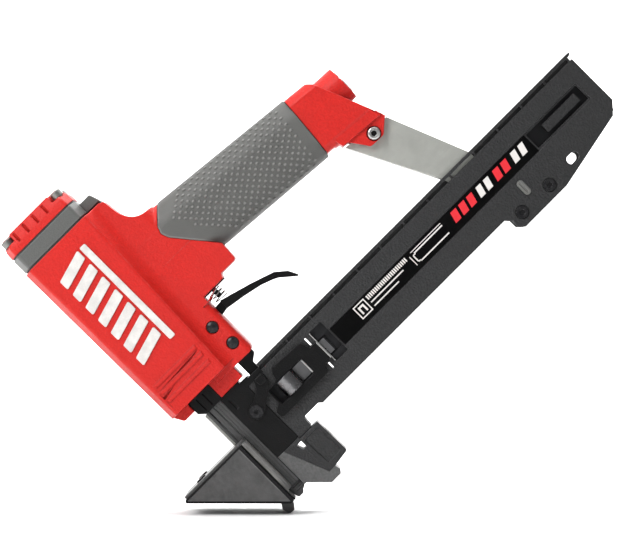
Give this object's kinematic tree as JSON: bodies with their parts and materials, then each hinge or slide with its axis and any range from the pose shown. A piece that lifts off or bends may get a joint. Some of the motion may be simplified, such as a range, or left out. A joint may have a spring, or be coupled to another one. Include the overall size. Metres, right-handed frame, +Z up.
{
  "type": "flooring nailer",
  "caption": "Pneumatic flooring nailer with a 45 degree nose, triangular floor shoe, trigger handle and straight spring-fed magazine.",
  "frame": {"origin": "middle of the shoe's flat sole", "axes": "+Z up with the sole flat on the floor and the drive line leaning 45 degrees; +X towards the magazine's tail; Y across the tool, -Y on the side with the release lever"},
  "size_m": [0.3652, 0.056, 0.2747],
  "materials": {
    "red_paint": "cast, with satin fine-textured red paint",
    "grey_head": "cast, with satin grey paint",
    "grip_rubber": "matt moulded rubber with raised nubs",
    "black_rubber": "matt",
    "black_metal": "black anodised, fine texture",
    "nose_steel": "dark cast steel",
    "zinc_steel": "zinc plated sheet",
    "black_fastener": "black oxide",
    "bright_fastener": "plated",
    "spring_steel": "bright spring steel",
    "hardened_steel": "ground",
    "inner_alloy": "machined",
    "name_strip": "gloss black, left blank"
  },
  "bodies": {
    "root": {"housing": "red_paint", "cylinder_head": "grey_head", "head_gaskets": "black_rubber", "top_cap": "red_paint", "cap_screws": "black_fastener", "cylinder_sleeve": "inner_alloy", "body_seals": "black_rubber", "bumper": "black_rubber", "head_valve_spring": "spring_steel", "grip_sleeve": "grip_rubber", "end_cap": "red_paint", "end_cap_screws": "black_fastener", "end_cap_seal": "black_rubber", "inlet_bushing": "bright_fastener", "valve_body": "inner_alloy", "valve_plate": "black_metal", "trigger_spring": "spring_steel", "column_pins": "black_fastener", "nose_block": "black_metal", "nose_front_plate": "nose_steel", "channel_spacers": "nose_steel", "nose_back_plate": "nose_steel", "nose_screws": "black_fastener", "wear_strip": "zinc_steel", "nose_tip": "nose_steel", "shoe": "nose_steel", "shoe_cover": "nose_steel", "shoe_cover_screws": "black_fastener", "toe_lug": "nose_steel", "foot_wedge": "nose_steel", "foot_block": "black_metal", "foot_screws": "black_fastener", "nose_bracket": "black_metal", "lever_pivot": "black_fastener", "side_plate_near": "black_metal", "side_plate_far": "black_metal", "guide_liner_near": "hardened_steel", "guide_liner_far": "hardened_steel", "staple_rail": "hardened_steel", "top_rail": "black_metal", "name_strip": "name_strip", "tail_spacers": "hardened_steel", "spring_housing": "black_metal", "spring_axle": "bright_fastener", "feed_strip": "spring_steel", "hanger_lug": "black_metal", "strut": "zinc_steel", "strut_screw": "bright_fastener", "rear_screws": "black_fastener", "slotted_pin": "bright_fastener"},
    "piston": {"piston": "inner_alloy", "piston_seal": "black_rubber", "driver_blade": "hardened_steel"},
    "head_valve": {"head_valve": "inner_alloy", "head_valve_seal": "black_rubber"},
    "trigger": {"trigger": "black_metal"},
    "valve_stem": {"valve_stem": "black_fastener"},
    "follower": {"follower": "hardened_steel"},
    "feed_spring": {"feed_spring": "spring_steel"},
    "release_lever": {"release_lever": "black_metal"}
  },
  "joints": [
    {"name": "piston_stroke", "type": "slide", "parent": "root", "child": "piston", "axis": [0.7071, 0, -0.7071], "range_m": [0, 0.082]},
    {"name": "head_valve_lift", "type": "slide", "parent": "root", "child": "head_valve", "axis": [-0.7071, 0, 0.7071], "range_m": [0, 0.0034], "stiffness_N_per_m": 800, "springref_m": -0.01, "deforming": ["head_valve_spring"]},
    {"name": "trigger_pull", "type": "hinge", "parent": "root", "child": "trigger", "pos_m": [-0.0152, 0, 0.10394], "axis": [0, -1, 0], "range_deg": [0, 16], "stiffness_Nm_per_rad": 0.5, "springref_deg": -17.19, "deforming": ["trigger_spring"]},
    {"name": "valve_stem_lift", "type": "slide", "parent": "root", "child": "valve_stem", "axis": [-0.7071, 0, 0.7071], "range_m": [0, 0.0023], "stiffness_N_per_m": 1, "springref_m": 0.0125},
    {"name": "follower_slide", "type": "slide", "parent": "root", "child": "follower", "axis": [0.7071, 0, 0.7071], "range_m": [0, 0.205], "stiffness_N_per_m": 10, "springref_m": -0.8, "deforming": ["feed_strip"]},
    {"name": "feed_spring_spin", "type": "hinge", "parent": "root", "child": "feed_spring", "pos_m": [0.03076, -0.0124, 0.07071], "axis": [0.7071, 0, -0.7071], "range_deg": [0, 1731.6]},
    {"name": "release_lever_turn", "type": "hinge", "parent": "root", "child": "release_lever", "pos_m": [0.01096, -0.0134, 0.05374], "axis": [0, -1, 0], "range_deg": [0, 15], "stiffness_Nm_per_rad": 0.05, "springref_deg": -22.92}
  ],
  "couplings": [
    {"joint": "valve_stem_lift", "follows": "trigger_pull", "m_per_rad": 0.007878},
    {"joint": "feed_spring_spin", "follows": "follower_slide", "rad_per_m": 147}
  ]
}
